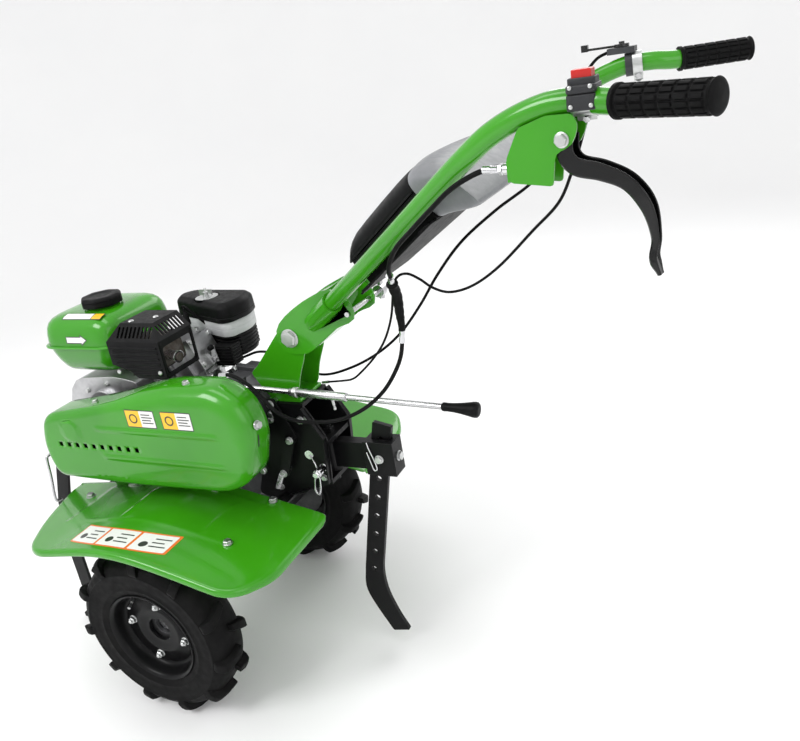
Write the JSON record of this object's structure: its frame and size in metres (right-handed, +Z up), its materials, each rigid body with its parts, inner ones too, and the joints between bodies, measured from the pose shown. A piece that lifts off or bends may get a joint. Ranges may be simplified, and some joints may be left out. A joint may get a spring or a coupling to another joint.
{
  "type": "mini cultivator",
  "caption": "Walk-behind mini cultivator: petrol engine, belt drive, chain gearbox, lugged wheels, rear hitch with coulter and a handlebar set by a pivot.",
  "frame": {"origin": "middle of the bounding box at floor level", "axes": "+X rearwards to the handles, +Y to the operator's right, +Z up"},
  "size_m": [1.6168, 0.7664, 1.228],
  "materials": {
    "green_paint": "gloss",
    "black_paint": "satin",
    "steel": "satin",
    "zinc": "satin",
    "cast_engine": "matte",
    "gear_case": "satin",
    "dark_iron": "satin",
    "heat_steel": "matte",
    "tyre_rubber": "matte",
    "black_rubber": "matte",
    "black_plastic": "satin",
    "grey_plastic": "matte",
    "red_plastic": "satin",
    "amber_plastic": "satin",
    "pulley_metal": "satin"
  },
  "bodies": {
    "frame": {"gearbox_case_left": "gear_case", "gearbox_case_right": "gear_case", "drive_chain": "dark_iron", "v_belt": "black_rubber", "belt_cover": "green_paint", "cover_backplate": "black_paint", "chassis": "black_paint", "fender_left": "green_paint", "fender_right": "green_paint", "hitch_bracket": "black_paint", "crankcase": "cast_engine", "cylinder_block": "cast_engine", "recoil_housing": "black_paint", "recoil_handle": "black_plastic", "fuel_tank": "green_paint", "muffler": "heat_steel", "muffler_guard": "black_paint", "carburettor": "cast_engine", "air_cleaner_base": "black_plastic", "air_cleaner_cover": "black_plastic", "handle_pedestal": "green_paint"},
    "wheels": {"axle_shaft": "steel", "hub_left": "dark_iron", "hub_right": "dark_iron", "rim_left": "black_paint", "rim_right": "black_paint", "tyre_left": "tyre_rubber", "tyre_right": "tyre_rubber"},
    "input": {"input_shaft": "steel", "driven_pulley": "pulley_metal"},
    "crank": {"crankshaft": "steel", "drive_pulley": "dark_iron"},
    "tensioner": {"tensioner_arm": "zinc"},
    "idler": {"idler_pulley": "dark_iron"},
    "stand": {"front_stand": "black_paint"},
    "drawbar": {"drawbar": "black_paint"},
    "coulter": {"coulter": "black_paint"},
    "fuel_cap": {"fuel_cap": "black_plastic"},
    "dipstick": {"oil_dipstick": "amber_plastic"},
    "wing_nut": {"air_cleaner_nut": "steel"},
    "handlebar": {"handle_column": "green_paint", "handlebar_left": "green_paint", "handlebar_right": "green_paint", "grip_left": "black_rubber", "grip_right": "black_rubber", "clutch_bracket": "green_paint", "switch_housing": "black_plastic", "throttle_base": "black_plastic", "tool_tray": "black_plastic", "control_panel": "grey_plastic", "clutch_cable": "black_rubber", "throttle_cable": "black_rubber", "stop_wire": "black_rubber"},
    "lock_screw": {"lock_screw": "zinc"},
    "clutch_lever": {"clutch_lever": "black_paint"},
    "stop_button": {"stop_button": "red_plastic"},
    "throttle_lever": {"throttle_lever": "black_plastic"},
    "tool_box_lid": {"tool_box_lid": "black_plastic"},
    "gear_shift": {"shift_rod": "steel", "shift_knob": "black_plastic"}
  },
  "joints": [
    {"name": "wheels_spin", "type": "hinge", "parent": "frame", "child": "wheels", "pos_m": [-0.327, 0, 0.203], "axis": [0, 1, 0], "continuous": true},
    {"name": "input_spin", "type": "hinge", "parent": "frame", "child": "input", "pos_m": [-0.177, 0, 0.612], "axis": [0, 1, 0], "continuous": true},
    {"name": "crank_spin", "type": "hinge", "parent": "frame", "child": "crank", "pos_m": [-0.507, 0, 0.625], "axis": [0, 1, 0], "continuous": true},
    {"name": "tensioner_swing", "type": "hinge", "parent": "frame", "child": "tensioner", "pos_m": [-0.323, -0.162, 0.524], "axis": [0, 1, 0], "range_deg": [0, 3]},
    {"name": "idler_spin", "type": "hinge", "parent": "tensioner", "child": "idler", "pos_m": [-0.422, -0.176, 0.54], "axis": [0, 1, 0], "continuous": true},
    {"name": "stand_fold", "type": "hinge", "parent": "frame", "child": "stand", "pos_m": [-0.699, 0, 0.497], "axis": [0, 1, 0], "range_deg": [0, 75]},
    {"name": "hitch_swing", "type": "hinge", "parent": "frame", "child": "drawbar", "pos_m": [-0.001, 0, 0.5], "axis": [0, 0, 1], "range_deg": [-15, 15]},
    {"name": "coulter_height", "type": "slide", "parent": "drawbar", "child": "coulter", "axis": [0.2215, 0, 0.9751], "range_m": [0, 0.147]},
    {"name": "fuel_cap_turn", "type": "hinge", "parent": "frame", "child": "fuel_cap", "pos_m": [-0.513, -0.016, 0.857], "axis": [0, 0, 1], "range_deg": [0, 90]},
    {"name": "dipstick_turn", "type": "hinge", "parent": "frame", "child": "dipstick", "pos_m": [-0.435, -0.1, 0.5589], "axis": [0, -0.9615, -0.2747], "continuous": true},
    {"name": "wing_nut_turn", "type": "hinge", "parent": "frame", "child": "wing_nut", "pos_m": [-0.303, 0.084, 0.835], "axis": [0, 0, 1], "continuous": true},
    {"name": "handlebar_tilt", "type": "hinge", "parent": "frame", "child": "handlebar", "pos_m": [-0.012, 0, 0.78], "axis": [0, -1, 0], "range_deg": [-15, 15], "deforming": ["clutch_cable", "throttle_cable", "stop_wire"]},
    {"name": "lock_screw_turn", "type": "hinge", "parent": "handlebar", "child": "lock_screw", "pos_m": [0.129, 0, 0.83], "axis": [0, 1, 0], "continuous": true},
    {"name": "clutch_squeeze", "type": "hinge", "parent": "handlebar", "child": "clutch_lever", "pos_m": [0.623, -0.285, 1.144], "axis": [-0.1743, -0.9847, 0], "range_deg": [0, 40], "stiffness_Nm_per_rad": 1.5, "springref_deg": -20.05},
    {"name": "stop_press", "type": "slide", "parent": "handlebar", "child": "stop_button", "axis": [0, 0, -1], "range_m": [0, 0.0025], "stiffness_N_per_m": 300, "springref_m": -0.001},
    {"name": "throttle_swing", "type": "hinge", "parent": "handlebar", "child": "throttle_lever", "pos_m": [0.595, 0.284, 1.215], "axis": [0, 0, 1], "range_deg": [-28, 28]},
    {"name": "lid_open", "type": "hinge", "parent": "handlebar", "child": "tool_box_lid", "pos_m": [0.17373, 0, 0.93779], "axis": [0, -1, 0], "range_deg": [0, 90]},
    {"name": "gear_select", "type": "slide", "parent": "frame", "child": "gear_shift", "axis": [0.9987, 0, -0.0514], "range_m": [-0.015, 0.015]}
  ],
  "couplings": [
    {"joint": "tensioner_swing", "follows": "clutch_squeeze", "ratio": 0.075}
  ]
}
